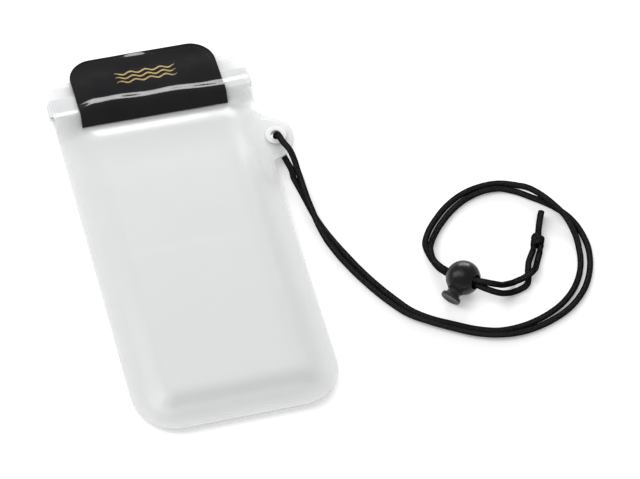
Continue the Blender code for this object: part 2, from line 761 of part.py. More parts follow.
def ball_profile():
    """from the bore's floor up to the mouth, then down the outside"""
    radius = BALL_DIAMETER / 2
    mouth, bore, seat = MOUTH_DIAMETER / 2, BORE_DIAMETER / 2, SEAT_DIAMETER / 2
    start = math.degrees(math.acos(mouth / radius))
    outside = arc((0.0, 0.0), radius, start, -90, 18)
    outside[-1] = (0.0, -radius)
    floor = -radius + BALL_WALL
    inside = [(0.0, floor), (seat, floor), (seat, BORE_FLOOR), (bore, BORE_FLOOR)]
    inside += [(bore, MOUTH_LIP), (mouth, MOUTH_LIP), outside[0]]
    return inside + outside[1:]


def make_ball(lock_material, frame):
    ball = turned("lock_ball", ball_profile(), 36, lock_material)
    ball.matrix_world = frame
    hole = pin("lock_cord_hole", (0, 0, 0), CORD_HOLE / 2, BALL_DIAMETER * 1.5, 20)
    hole.matrix_world = frame @ Matrix.Rotation(math.radians(90), 4, "Y")
    cut(ball, hole)


def window_ends():
    """the button's window, along its axis: it clamps the cord at its inner end and clears it pressed"""
    cord = CORD_DIAMETER / 2 + WINDOW_PLAY
    return -cord, cord + BUTTON_TRAVEL


def make_button(lock_material, frame):
    head, neck = BUTTON_HEAD / 2, BUTTON_NECK / 2
    shaft = BORE_DIAMETER / 2 - BUTTON_PLAY
    soft = BUTTON_HEAD_SHEET / 4
    top = BUTTON_HEAD_PLACE
    under = top - BUTTON_HEAD_SHEET
    low, high = window_ends()
    end = low - BUTTON_END_WALL
    shoulder = MOUTH_LIP - GAP
    profile = [(0.0, top), (head - soft, top), (head, top - soft), (head, under + soft), (head - soft, under)]
    profile += [(neck, under), (neck, shoulder), (shaft, shoulder), (shaft, end), (0.0, end)]
    button = turned("lock_button", profile, 32, lock_material)
    button.matrix_world = frame
    window = bmesh.new()
    bmesh.ops.create_cube(window, size=1.0)
    bmesh.ops.scale(window, vec=(BALL_DIAMETER, WINDOW_WIDTH, high - low), verts=window.verts[:])
    bmesh.ops.translate(window, vec=(0, 0, (high + low) / 2), verts=window.verts[:])
    mesh = bpy.data.meshes.new("lock_button_window")
    window.to_mesh(mesh)
    window.free()
    cutter = add_cutter("lock_button_window", mesh)
    cutter.matrix_world = frame
    cut(button, cutter)


def make_spring(spring_material, frame):
    floor = -BALL_DIAMETER / 2 + BALL_WALL
    low = floor + GAP + SPRING_WIRE / 2
    high = window_ends()[0] - BUTTON_END_WALL - GAP - SPRING_WIRE / 2
    radius = SEAT_DIAMETER / 2 - GAP - SPRING_WIRE / 2
    steps = round(SPRING_TURNS * 14)
    points = []
    for i in range(steps + 1):
        angle = math.tau * SPRING_TURNS * i / steps
        height = low + (high - low) * ramp(i / steps, 0.0, 1.0)
        points.append((radius * math.cos(angle), radius * math.sin(angle), height))
    spring = tube("lock_spring", points, SPRING_WIRE, spring_material)
    spring.matrix_world = frame


def shade_round(*names):
    """smooth shading, with the edges that are sharper than SHARP_ANGLE kept sharp"""
    for name in names:
        mesh = as_mesh(bpy.data.objects[name]).data
        mesh.shade_smooth()
        mesh.set_sharp_from_angle(angle=math.radians(SHARP_ANGLE))


def main():
    film = plastic("clear_film", (0.86, 0.88, 0.89), 0.32, alpha=0.45)
    zip_film = plastic("zip_plastic", (0.92, 0.93, 0.94), 0.28, alpha=0.7)
    black_film = plastic("black_film", (0.012, 0.012, 0.013), 0.18)
    hook = plastic("hook_tape", (0.015, 0.015, 0.016), 0.9)
    loop = plastic("loop_tape", (0.02, 0.02, 0.022), 0.95)
    eyelet = plastic("eyelet_plastic", (0.9, 0.91, 0.92), 0.25)
    cord = plastic("cord_braid", (0.012, 0.012, 0.014), 0.75)
    lock = plastic("lock_plastic", (0.02, 0.02, 0.022), 0.35)
    steel = plastic("spring_steel", (0.6, 0.6, 0.62), 0.3, metallic=1.0)
    make_films(film)
    make_zip(zip_film)
    make_flaps(black_film, hook, loop)
    make_eyelet(eyelet)
    make_cord(cord)
    make_knot(cord)
    frame = lock_frame()
    make_ball(lock, frame)
    make_button(lock, frame)
    make_spring(steel, frame)
    shade_round("back_film", "front_film", "front_flap", "back_flap", "eyelet")
    shade_round("neck_cord", "cord_knot", "lock_ball", "lock_button", "lock_spring")


main()
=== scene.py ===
import math

import bmesh
import bpy
from mathutils import Matrix, Vector, noise


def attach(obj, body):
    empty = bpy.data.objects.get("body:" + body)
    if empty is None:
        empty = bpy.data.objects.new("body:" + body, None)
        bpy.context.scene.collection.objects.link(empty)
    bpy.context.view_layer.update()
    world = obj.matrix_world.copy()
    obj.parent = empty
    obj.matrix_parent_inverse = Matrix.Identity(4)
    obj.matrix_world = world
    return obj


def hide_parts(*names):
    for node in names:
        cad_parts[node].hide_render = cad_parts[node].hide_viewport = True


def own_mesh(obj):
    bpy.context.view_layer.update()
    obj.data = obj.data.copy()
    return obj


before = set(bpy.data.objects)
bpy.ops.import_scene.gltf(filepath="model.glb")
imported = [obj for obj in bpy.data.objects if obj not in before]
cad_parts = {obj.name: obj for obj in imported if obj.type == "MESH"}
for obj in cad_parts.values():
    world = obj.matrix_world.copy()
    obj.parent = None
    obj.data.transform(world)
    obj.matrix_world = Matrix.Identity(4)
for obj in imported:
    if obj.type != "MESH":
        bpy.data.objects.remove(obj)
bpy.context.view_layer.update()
scene = bpy.context.scene
scene.view_settings.view_transform = "Standard"
print("frame loaded")


# small helpers for working as by hand

def deselectAll():
    if bpy.context.object and bpy.context.object.mode != "OBJECT":
        bpy.ops.object.mode_set(mode="OBJECT")
    bpy.ops.object.select_all(action="DESELECT")


def pick(piece):
    deselectAll()
    piece.select_set(True)
    bpy.context.view_layer.objects.active = piece


def editAll(piece):
    pick(piece)
    bpy.ops.object.mode_set(mode="EDIT")
    bpy.ops.mesh.select_all(action="SELECT")


def leaveEdit():
    bpy.ops.object.mode_set(mode="OBJECT")


def newest(name):
    piece = bpy.context.object
    piece.name = name
    piece.data.name = name
    return piece


def applyModifiers(piece):
    pick(piece)
    for modifier in list(piece.modifiers):
        bpy.ops.object.modifier_apply(modifier=modifier.name)


def subtract(piece, cutter):
    boolean = piece.modifiers.new("cut", "BOOLEAN")
    boolean.operation = "DIFFERENCE"
    boolean.solver = "EXACT"
    boolean.object = cutter
    applyModifiers(piece)
    bpy.data.objects.remove(cutter, do_unlink=True)


def ramp(value, start, end):
    t = min(max((value - start) / (end - start), 0.0), 1.0)
    return t * t * (3.0 - 2.0 * t)


def bell(value, width):
    return math.exp(-(value / width) ** 2)


def spread(start, end, steps):
    return [start + (end - start) * i / steps for i in range(steps + 1)]


def corner(centre, radius, start, end, steps):
    angles = [math.radians(start + (end - start) * i / steps) for i in range(steps + 1)]
    return [(centre[0] + radius * math.cos(a), centre[1] + radius * math.sin(a)) for a in angles]


def turnedPiece(name, profile, steps, place=Matrix()):
    deselectAll()
    bpy.ops.mesh.primitive_plane_add(size=0.001, location=(0, 0, 0))
    piece = newest(name)
    editAll(piece)
    bpy.ops.mesh.merge(type="CENTER")  # one point, to draw the profile with
    bpy.ops.transform.translate(value=(profile[0][0], 0, profile[0][1]))
    for (r, z), (nextR, nextZ) in zip(profile, profile[1:]):
        bpy.ops.mesh.extrude_region_move(TRANSFORM_OT_translate={"value": (nextR - r, 0, nextZ - z)})
    bpy.ops.mesh.select_all(action="SELECT")
    bpy.ops.mesh.spin(steps=steps, angle=math.tau, center=(0, 0, 0), axis=(0, 0, 1))
    bpy.ops.mesh.select_all(action="SELECT")
    bpy.ops.mesh.remove_doubles(threshold=0.000001)
    bpy.ops.mesh.normals_make_consistent(inside=False)
    leaveEdit()
    piece.data.transform(place)
    return piece


def smooth(piece, angle=30):
    pick(piece)
    bpy.ops.object.shade_smooth_by_angle(angle=math.radians(angle))


# materials: a Principled shader and a few nodes that vary its colour, roughness and height

def material(name, colour, roughness, **sockets):
    made = bpy.data.materials.new(name)
    made.use_nodes = True
    shader = made.node_tree.nodes["Principled BSDF"]
    shader.inputs["Base Color"].default_value = (*colour, 1)
    shader.inputs["Roughness"].default_value = roughness
    for socket, value in sockets.items():
        shader.inputs[socket.replace("_", " ")].default_value = value
    return made, made.node_tree, shader


def node(tree, kind, operation=None, **inputs):
    made = tree.nodes.new("ShaderNode" + kind)
    if operation:
        made.operation = operation
    for name, value in inputs.items():
        socket = made.inputs[int(name[2:])] if name.startswith("in") else made.inputs[name]
        if hasattr(value, "is_output"):
            tree.links.new(value, socket)
        else:
            socket.default_value = value
    return made


def maths(tree, operation, a, b=0.0, c=0.0):
    return node(tree, "Math", operation, in0=a, in1=b, in2=c).outputs[0]


def objectNoise(tree, scale, detail=3.0, stretch=(1, 1, 1)):
    place = node(tree, "TexCoord").outputs["Object"]
    mapping = node(tree, "Mapping", Vector=place, Scale=stretch)
    texture = node(tree, "TexNoise", Vector=mapping.outputs[0], Scale=scale, Detail=detail)
    return texture.outputs["Fac"]


def colourRamp(tree, value, *stops):
    made = node(tree, "ValToRGB", Fac=value)
    steps = made.color_ramp
    while len(steps.elements) < len(stops):
        steps.elements.new(0.5)
    for element, (place, shade) in zip(steps.elements, stops):
        element.position = place
        element.color = (*shade, 1)
    return made.outputs["Color"]


def rangeOf(tree, value, low, high, start=0.0, end=1.0):
    return node(tree, "MapRange", in0=value, in1=start, in2=end, in3=low, in4=high).outputs[0]


def vary(tree, shader, cloud, low, high):
    tree.links.new(rangeOf(tree, cloud, low, high, 0.3, 0.7), shader.inputs["Roughness"])


def emboss(tree, shader, height, distance):
    bump = node(tree, "Bump", Height=height, Distance=distance, Strength=1.0)
    tree.links.new(bump.outputs[0], shader.inputs["Normal"])


def wear(piece, *materials):
    piece.data.materials.clear()
    for each in materials:
        piece.data.materials.append(each)


film = {
    "colour": (0.85, 0.855, 0.86), "alpha": 0.40, "rough": 0.24, "roughRange": (0.22, 0.27),
    "wave": 38.0, "patches": 160.0, "grain": 900.0, "relief": 0.00012,
    # in millimetres: pitch of the weld's lines, and where they fade out inwards
    "weldPitch": 1.25, "weldFade": (3.6, 4.4), "weldHeight": 0.45,
}


def filmMaterial(name, colour, alpha, weldLines):
    made, tree, shader = material(name, colour, film["rough"], Alpha=alpha, IOR=1.54,
                                  Specular_IOR_Level=0.75)
    cloud = objectNoise(tree, film["wave"])
    tint = colourRamp(tree, cloud, (0.3, tuple(c * 0.99 for c in colour)), (0.7, colour))
    tree.links.new(tint, shader.inputs["Base Color"])
    vary(tree, shader, objectNoise(tree, film["patches"]), *film["roughRange"])
    grain = maths(tree, "MULTIPLY", objectNoise(tree, film["grain"], 2.0), 0.10)
    height = maths(tree, "ADD", grain, maths(tree, "MULTIPLY", cloud, 0.2))
    if weldLines:
        edge = node(tree, "Attribute")
        edge.attribute_name = "edge"  # distance from the rim, in millimetres
        reach = edge.outputs["Fac"]
        line = maths(tree, "SINE", maths(tree, "MULTIPLY", reach, math.tau / film["weldPitch"]))
        inWeld = rangeOf(tree, reach, 1.0, 0.0, *film["weldFade"])
        ridge = maths(tree, "MULTIPLY", maths(tree, "MULTIPLY", line, inWeld), film["weldHeight"])
        height = maths(tree, "ADD", height, ridge)
    emboss(tree, shader, height, film["relief"])
    made.surface_render_method = "BLENDED"
    return made


clearFilm = filmMaterial("frostedFilm", film["colour"], film["alpha"], True)
zipPlastic = filmMaterial("milkyZipPlastic", (0.9, 0.91, 0.92), 0.72, False)
eyeletPlastic = filmMaterial("milkyEyelet", (0.84, 0.845, 0.85), 0.9, False)


gloss = {
    "colour": (0.008, 0.008, 0.009), "rough": 0.09, "roughRange": (0.07, 0.11), "patches": 210.0,
    # in millimetres from the flap's edge: middle and half width of its pressed seam
    "seam": 1.9, "seamHalf": 0.35, "relief": 0.0001,
}


def blackFlapMaterial():
    made, tree, shader = material("glossyBlackFilm", gloss["colour"], gloss["rough"], IOR=1.54,
                                  Specular_IOR_Level=0.2)
    cloud = objectNoise(tree, 60.0)
    tint = colourRamp(tree, cloud, (0.3, (0.006, 0.006, 0.007)), (0.7, (0.010, 0.010, 0.011)))
    tree.links.new(tint, shader.inputs["Base Color"])
    vary(tree, shader, objectNoise(tree, gloss["patches"]), *gloss["roughRange"])
    edge = node(tree, "Attribute")
    edge.attribute_name = "edge"
    offset = maths(tree, "SUBTRACT", edge.outputs["Fac"], gloss["seam"])
    seam = maths(tree, "LESS_THAN", maths(tree, "ABSOLUTE", offset), gloss["seamHalf"])
    grain = maths(tree, "MULTIPLY", objectNoise(tree, 1200.0, 2.0), 0.06)
    height = maths(tree, "SUBTRACT", maths(tree, "ADD", grain, maths(tree, "MULTIPLY", cloud, 0.5)), seam)
    emboss(tree, shader, height, gloss["relief"])
    return made


def printMaterial():
    made, tree, shader = material("goldPrint", (0.33, 0.23, 0.06), 0.42, Metallic=0.2)
    speckle = objectNoise(tree, 1500.0, 4.0)
    tint = colourRamp(tree, speckle, (0.35, (0.19, 0.13, 0.025)), (0.6, (0.30, 0.205, 0.045)))
    tree.links.new(tint, shader.inputs["Base Color"])
    emboss(tree, shader, speckle, 0.00002)
    return made


def stripMaterial(name, scale, shade):
    made, tree, shader = material(name, (shade, shade, shade * 1.05), 0.85, Sheen_Weight=0.2)
    loops = objectNoise(tree, scale, 4.0)
    dots = node(tree, "TexVoronoi", Vector=node(tree, "TexCoord").outputs["Object"], Scale=scale * 1.4)
    tint = colourRamp(tree, loops, (0.3, (shade * 0.6,) * 3), (0.7, (shade * 1.8,) * 3))
    tree.links.new(tint, shader.inputs["Base Color"])
    emboss(tree, shader, maths(tree, "ADD", dots.outputs["Distance"], loops), 0.0003)
    return made


# dark is the cord's own black, also used as painted shade in the gaps; light is a painted highlight on the
# strands' crowns
braid = {"strands": 8.0, "lay": 6.4, "dark": (0.0008, 0.0008, 0.001), "light": (0.06, 0.06, 0.063)}


def braidMaterial():
    made, tree, shader = material("blackBraid", (0.012, 0.012, 0.014), 0.55, Specular_IOR_Level=0.02)
    uv = node(tree, "UVMap")
    split = node(tree, "SeparateXYZ", Vector=uv.outputs[0])
    along = maths(tree, "MULTIPLY", split.outputs[0], braid["strands"] / braid["lay"])
    around = maths(tree, "MULTIPLY", split.outputs[1], braid["strands"])
    left = maths(tree, "FRACT", maths(tree, "ADD", along, around))
    right = maths(tree, "FRACT", maths(tree, "SUBTRACT", along, around))
    leftCrown = maths(tree, "SINE", maths(tree, "MULTIPLY", left, math.pi))
    rightCrown = maths(tree, "SINE", maths(tree, "MULTIPLY", right, math.pi))
    crossing = node(tree, "TexChecker", Vector=node(
        tree, "CombineXYZ", X=maths(tree, "ADD", along, around), Y=maths(tree, "SUBTRACT", along, around),
        Z=0.5).outputs[0], Scale=1.0).outputs["Fac"]
    leftOver = maths(tree, "MULTIPLY", leftCrown, crossing)
    rightOver = maths(tree, "MULTIPLY", rightCrown, maths(tree, "SUBTRACT", 1.0, crossing))
    height = maths(tree, "ADD", leftOver, rightOver)
    fibres = objectNoise(tree, 2600.0, 2.0)
    # painted highlight and painted shade: the braid's colour follows the strands' height, lighter on their
    # crowns and dark in the gaps between them, with the fibres varying it at random
    shade = maths(tree, "MULTIPLY", height, rangeOf(tree, fibres, 0.7, 1.15, 0.3, 0.7))
    # painted shade: the colour darkens where the cord's surface turns away from the view, towards its edges
    edgeShadeFacing = node(tree, "LayerWeight", Blend=0.5).outputs["Facing"]
    shade = maths(tree, "MULTIPLY", shade, rangeOf(tree, edgeShadeFacing, 1.1, 0.3))
    tree.links.new(colourRamp(tree, shade, (0.6, braid["dark"]), (1.0, braid["light"])),
                   shader.inputs["Base Color"])
    tree.links.new(rangeOf(tree, height, 0.75, 0.45), shader.inputs["Roughness"])
    emboss(tree, shader, height, 0.00028)
    return made


def mouldedMaterial(name, colour, roughness):
    made, tree, shader = material(name, colour, roughness, IOR=1.5, Specular_IOR_Level=0.32)
    cloud = objectNoise(tree, 220.0)
    darker, lighter = (tuple(c * share for c in colour) for share in (0.8, 1.15))
    tint = colourRamp(tree, cloud, (0.3, darker), (0.7, lighter))
    tree.links.new(tint, shader.inputs["Base Color"])
    vary(tree, shader, objectNoise(tree, 700.0, 4.0), roughness * 0.8, roughness * 1.25)
    grain = objectNoise(tree, 5200.0, 2.0)
    emboss(tree, shader, maths(tree, "ADD", grain, maths(tree, "MULTIPLY", cloud, 0.3)), 0.000006)
    return made


def steelMaterial():
    made, tree, shader = material("springSteel", (0.58, 0.58, 0.6), 0.25, Metallic=1.0)
    drawn = objectNoise(tree, 3000.0, 2.0)
    tree.links.new(colourRamp(tree, drawn, (0.3, (0.45, 0.45, 0.47)), (0.7, (0.66, 0.66, 0.68))),
                   shader.inputs["Base Color"])
    vary(tree, shader, drawn, 0.18, 0.35)
    return made


blackFlap = blackFlapMaterial()
goldPrint = printMaterial()
hookTape = stripMaterial("hookTape", 1500.0, 0.016)
loopTape = stripMaterial("loopTape", 900.0, 0.022)
cordBraid = braidMaterial()
ballPlastic = mouldedMaterial("blackBallPlastic", (0.002, 0.002, 0.0022), 0.30)
buttonPlastic = mouldedMaterial("blackButtonPlastic", (0.014, 0.014, 0.0145), 0.38)
springSteel = steelMaterial()
print("materials made")


# camera and light

camera = {
    "place": (-0.25701, -0.82229, 1.26161),
    "right": (0.96212, -0.26311, 0.07139),
    "up": (0.17892, 0.80698, 0.56283),
    "back": (-0.20570, -0.52874, 0.82348),
    "lens": 187.3,
    "sensor": 36.0,
}


def makeCamera():
    data = bpy.data.cameras.new("camera")
    data.lens = camera["lens"]
    data.sensor_width = camera["sensor"]
    made = bpy.data.objects.new("camera", data)
    turned = Matrix((camera["right"], camera["up"], camera["back"])).transposed()
    made.matrix_world = Matrix.Translation(camera["place"]) @ turned.to_4x4()
    scene.collection.objects.link(made)
    scene.camera = made


lamps = {  # from the middle of the object: azimuth and height in degrees, distance, size, power
    "backSoftbox": (21, 21.5, 1.25, (0.95, 0.34), 12.5),
    "leftSoftbox": (-75, 42, 1.1, (0.55, 0.85), 5.1),
    "topSoftbox": (-100, 72, 1.3, (0.7, 0.7), 3.0),
}
stageMiddle = Vector((0.055, 0.0, 0.0))
stage = {"size": 6.0, "floor": (0.94, 0.94, 0.94), "glow": 0.22, "light": 0.5, "seenLight": 1.0}


def makeLamps():
    for name, (azimuth, height, distance, size, power) in lamps.items():
        light = bpy.data.lights.new(name, "AREA")
        light.shape = "RECTANGLE"
        light.size, light.size_y = size
        light.energy = power
        turn, rise = math.radians(azimuth), math.radians(height)
        toLamp = Vector((math.sin(turn) * math.cos(rise), math.cos(turn) * math.cos(rise), math.sin(rise)))
        lamp = bpy.data.objects.new(name, light)
        lamp.location = stageMiddle + toLamp * distance
        lamp.rotation_euler = toLamp.to_track_quat("Z", "Y").to_euler()
        scene.collection.objects.link(lamp)


def makeStage():
    world = bpy.data.worlds.new("studio")
    scene.world = world
    world.use_nodes = True
    tree = world.node_tree
    background = tree.nodes["Background"]
    path = node(tree, "LightPath")
    strength = rangeOf(tree, path.outputs["Is Camera Ray"], stage["light"], stage["seenLight"])
    background.inputs["Color"].default_value = (1, 1, 1, 1)
    tree.links.new(strength, background.inputs["Strength"])
    deselectAll()
    bpy.ops.mesh.primitive_plane_add(size=stage["size"], location=(0, 0, 0))
    floor = newest("floor")
    made, tree, shader = material("paleFloor", stage["floor"], 0.9, Specular_IOR_Level=0.0)
    path = node(tree, "LightPath")
    seen = maths(tree, "MAXIMUM", path.outputs["Is Camera Ray"], path.outputs["Is Glossy Ray"])
    seen = maths(tree, "MAXIMUM", seen, path.outputs["Is Transmission Ray"])
    glow = maths(tree, "MULTIPLY", seen, stage["glow"])
    shader.inputs["Emission Color"].default_value = (1, 1, 1, 1)
    tree.links.new(glow, shader.inputs["Emission Strength"])
    wear(floor, made)


makeCamera()
makeLamps()
makeStage()
print("camera, lamps and floor made")


# the neck cord: its two strands lie side by side from the ear through the lock to the knot

lock = {"heading": -51.7, "rise": 21.6, "roll": 15.1, "place": (0.11447, -0.05186, 0.008)}
knot = {"place": (0.1554, -0.0371, 0.0034), "heading": 68.0, "length": 0.0088, "width": 0.0062,
        "clear": 0.0005, "tail": 0.0122, "drift": 0.0003, "fine": 0.0005,
        # both strands' winding: share of the cord sunk in, degrees, steps, inset from the ends
        "sunk": 0.43, "sweep": 430, "steps": 12, "inset": 0.0022,
        # the turn that binds them: half its run, inset, share of the cord's width, degrees, steps
        "wrapHalf": 0.0012, "wrapInset": 0.0011, "wrapShare": 0.8, "wrapFrom": -60, "wrapSweep": 330,
        "wrapSteps": 24}
cord = {
    "diameter": 0.0029,
    "gap": 0.0003,
    "fine": 0.0007,
    "around": 16,
    "eyelet": (0.05175, 0.0445),
    "eyeletFaces": (0.0049, 0.0078),
    "inLock": ((-0.009, 0), (-0.0042, 0), (0.0042, 0), (0.009, -22)),  # place, further turn
    # x, y, height of the lower strand, spacing of the strands, and their turn in degrees
    "toLock": (
        (0.0561, 0.0229, 0.0000, 0.0034, -135),
        (0.0567, 0.0156, 0.0000, 0.0033, -108),
        (0.0573, 0.0085, 0.0000, 0.0032, -90),
        (0.0581, 0.0014, 0.0000, 0.0033, -78),
        (0.0598, -0.0079, 0.0000, 0.0033, -50),
        (0.0618, -0.0149, 0.0000, 0.0034, -30),
        (0.0656, -0.0246, 0.0000, 0.0034, -14),
        (0.0728, -0.0396, 0.0000, 0.0033, -12),
        (0.0809, -0.0528, 0.0000, 0.0033, -12),
        (0.0871, -0.0610, 0.0000, 0.0033, -22),
        (0.0944, -0.0668, 0.0000, 0.0032, -30),
        (0.1037, -0.0722, 0.0000, 0.0032, -24),
        (0.1136, -0.0773, 0.0000, 0.0032, -22),
        (0.1239, -0.0805, 0.0000, 0.0032, -24),
        (0.1355, -0.0806, 0.0000, 0.0033, -9),
        (0.1480, -0.0776, 0.0000, 0.0035, 0),
        (0.1595, -0.0719, 0.0000, 0.0041, 0),
        (0.1685, -0.0632, 0.0000, 0.0044, 0),
        (0.1739, -0.0529, 0.0000, 0.0044, 0),
        (0.1758, -0.0442, 0.0000, 0.0044, 0),
        (0.1757, -0.0353, 0.0000, 0.0034, 12),
        (0.1733, -0.0265, 0.0000, 0.0034, 45),
        (0.1686, -0.0190, 0.0000, 0.0034, 75),
        (0.1625, -0.0120, 0.0000, 0.0036, 115),
        (0.1556, -0.0056, 0.0000, 0.0036, 175),
        (0.1480, -0.0024, 0.0000, 0.0033, 188),
        (0.1393, -0.0021, 0.0000, 0.0032, 190),
        (0.1299, -0.0044, 0.0000, 0.0033, 182),
        (0.1214, -0.0091, 0.0000, 0.0034, 180),
        (0.1147, -0.0148, 0.0000, 0.0034, 184),
        (0.1093, -0.0208, 0.0000, 0.0034, 188),
        (0.1060, -0.0262, 0.0000, 0.0034, 212),
        (0.1049, -0.0312, 0.0000, 0.0034, 260),
        (0.1052, -0.0365, 0.0000, 0.0033, 285),
    ),
    "toKnot": (
        (0.1264, -0.0614, 0.0072, 0.0034, 225),
        (0.1303, -0.0609, 0.0044, 0.0040, 206),
        (0.1345, -0.0592, 0.0014, 0.0046, 192),
        (0.1388, -0.0578, 0.0000, 0.0044, 186),
        (0.1425, -0.0571, 0.0000, 0.0038, 215),
        (0.1457, -0.0549, 0.0000, 0.0035, 270),
        (0.1483, -0.0509, 0.0000, 0.0036, 330),
        (0.1503, -0.0468, 0.0000, 0.0038, 360),
    ),
    # from the eyelet's axis: x, y, and rise over its upper or drop under its lower face
    "overEar": (
        (0.0053, -0.0192, -0.0044),
        (0.0051, -0.0150, -0.0034),
        (0.0036, -0.0113, 0.0002),
        (0.0013, -0.0066, 0.0015),
        (0.0002, -0.0014, 0.0005),
    ),
    "underEar": (
        (0.0005, -0.0010, 0.0003),
        (0.0012, -0.0046, -0.0016),
        (0.0024, -0.0110, -0.0020),
        (0.0034, -0.0178, -0.0020),
    ),
}


def lockPlace():
    heading, rise = math.radians(lock["heading"]), math.radians(lock["rise"])
    along = Vector((math.cos(heading) * math.cos(rise), math.sin(heading) * math.cos(rise), math.sin(rise)))
    side = Vector((0, 0, 1)).cross(along).normalized()
    stacked = along.cross(side)
    roll = math.radians(lock["roll"])
    strandToStrand = stacked * math.cos(roll) - side * math.sin(roll)
    made = Matrix((along, strandToStrand, along.cross(strandToStrand))).transposed().to_4x4()
    made.translation = lock["place"]
    return made


def knotPlace():
    made = Matrix.Rotation(math.radians(knot["heading"]), 4, "Z")
    made.translation = knot["place"]
    return made


def slopesOf(points):
    lengths = [max((b - a).length, 1e-9) for a, b in zip(points, points[1:])]
    runs = [(b - a) / length for a, b, length in zip(points, points[1:], lengths)]
    slopes = [runs[0]]
    for i in range(1, len(runs)):
        before, after = lengths[i - 1], lengths[i]
        slopes.append((runs[i - 1] * after + runs[i] * before) / (before + after))
    return lengths, slopes + [runs[-1]]


def between(points, slopes, lengths, i, t):
    s = 1.0 - t
    start = points[i] * (s * s * (1 + 2 * t)) + slopes[i] * (lengths[i] * t * s * s)
    return start + points[i + 1] * (t * t * (3 - 2 * t)) - slopes[i + 1] * (lengths[i] * t * t * s)


def upright(turn):
    return abs(math.sin(math.radians(turn)))


def cordStrands():
    radius, spacing = cord["diameter"] / 2, cord["diameter"] + cord["gap"]
    rows = list(cord["toLock"])
    for reach, further in cord["inLock"]:
        place = lockPlace() @ Vector((reach, 0, 0))
        turn = 270 + lock["roll"] + further
        rows.append((place.x, place.y, place.z - radius - spacing / 2 * upright(turn), spacing, turn))
    end = knotPlace() @ Vector((-knot["length"] / 2 - knot["clear"], 0, 0))
    rows += [*cord["toKnot"], (end.x, end.y, knot["place"][2] / 5, spacing, 360)]
    places = [Vector(row[:3]) for row in rows]
    pairs = [Vector(row[3:]) for row in rows]
    lengths, slopes = slopesOf(places)
    middles = []
    for i, length in enumerate(lengths):
        steps = math.ceil(length / cord["fine"])
        for step in range(steps + (i == len(lengths) - 1)):
            place = between(places, slopes, lengths, i, step / steps)
            apart, turn = pairs[i].lerp(pairs[i + 1], step / steps)
            place.z = max(place.z, 0.0) + radius + apart / 2 * upright(turn)
            middles.append((place, apart, turn))
    front, back = [], []
    for i, (place, apart, turn) in enumerate(middles):
        along = (middles[min(i + 1, len(middles) - 1)][0] - middles[max(i - 1, 0)][0]).normalized()
        side = Vector((0, 0, 1)).cross(along).normalized()
        angle = math.radians(turn)
        offset = (side * math.cos(angle) + along.cross(side) * math.sin(angle)) * apart / 2
        front.append(place - offset)
        back.append(place + offset)
    return front, back


def cordPath():
    front, back = cordStrands()
    low, high = cord["eyeletFaces"]
    radius = cord["diameter"] / 2
    hole = Vector((*cord["eyelet"], 0.0))
    bend = [front[1], front[0]]
    bend += [hole + Vector((x, y, high + radius + rise)) for x, y, rise in cord["overEar"]]
    bend.append(hole + Vector((0, 0, (low + high) / 2)))
    bend += [hole + Vector((x, y, max(low - radius + rise, radius))) for x, y, rise in cord["underEar"]]
    bend += [back[0], back[1]]
    lengths, slopes = slopesOf(bend)
    turn = []
    for i in range(1, len(bend) - 2):
        steps = math.ceil(lengths[i] / cord["fine"])
        turn += [between(bend, slopes, lengths, i, step / steps) for step in range(steps)]
    return front[:0:-1] + turn + back


def tubeRings(points):
    along = [(points[min(i + 1, len(points) - 1)] - points[max(i - 1, 0)]).normalized()
             for i in range(len(points))]
    side = along[0].orthogonal().normalized()
    rings = []
    for point, direction in zip(points, along):
        side = (side - direction * side.dot(direction)).normalized()
        rings.append((point, side.copy(), direction.cross(side)))
    return rings


def roundTube(name, points, diameter, around, squeeze=None, start=0.0):
    shape = bmesh.new()
    uvLayer = shape.loops.layers.uv.new("UVMap")
    circles, reached, reach = [], [], start
    for i, (point, side, up) in enumerate(tubeRings(points)):
        reach += (point - points[i - 1]).length * 1000 if i else 0.0
        reached.append(reach)  # millimetres along the cord, for the weave
        share = squeeze(i / (len(points) - 1)) if squeeze else 1.0
        ring = []
        for k in range(around):
            angle = math.tau * k / around
            out = side * math.cos(angle) + up * math.sin(angle)
            ring.append(shape.verts.new(point + out * diameter / 2 * share))
        circles.append(ring)
    for i in range(len(circles) - 1):
        for k in range(around):
            following = (k + 1) % around
            face = shape.faces.new((circles[i][k], circles[i][following],
                                    circles[i + 1][following], circles[i + 1][k]))
            places = ((reached[i], k), (reached[i], k + 1), (reached[i + 1], k + 1), (reached[i + 1], k))
            for loop, (u, v) in zip(face.loops, places):
                loop[uvLayer].uv = (u, v / around)
            face.smooth = True
    for ring, u in ((circles[0][::-1], reached[0]), (circles[-1], reached[-1])):
        cap = shape.faces.new(ring)
        for loop in cap.loops:
            loop[uvLayer].uv = (u, 0.0)
    mesh = bpy.data.meshes.new(name)
    shape.to_mesh(mesh)
    shape.free()
    made = bpy.data.objects.new(name, mesh)
    scene.collection.objects.link(made)
    return made


path = cordPath()
neckCord = roundTube("neckCord", path, cord["diameter"], cord["around"])
wear(neckCord, cordBraid)
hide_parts("neck_cord")
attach(neckCord, "pouch")


# the knot: both strands wind round each other, and their cut ends lie past it

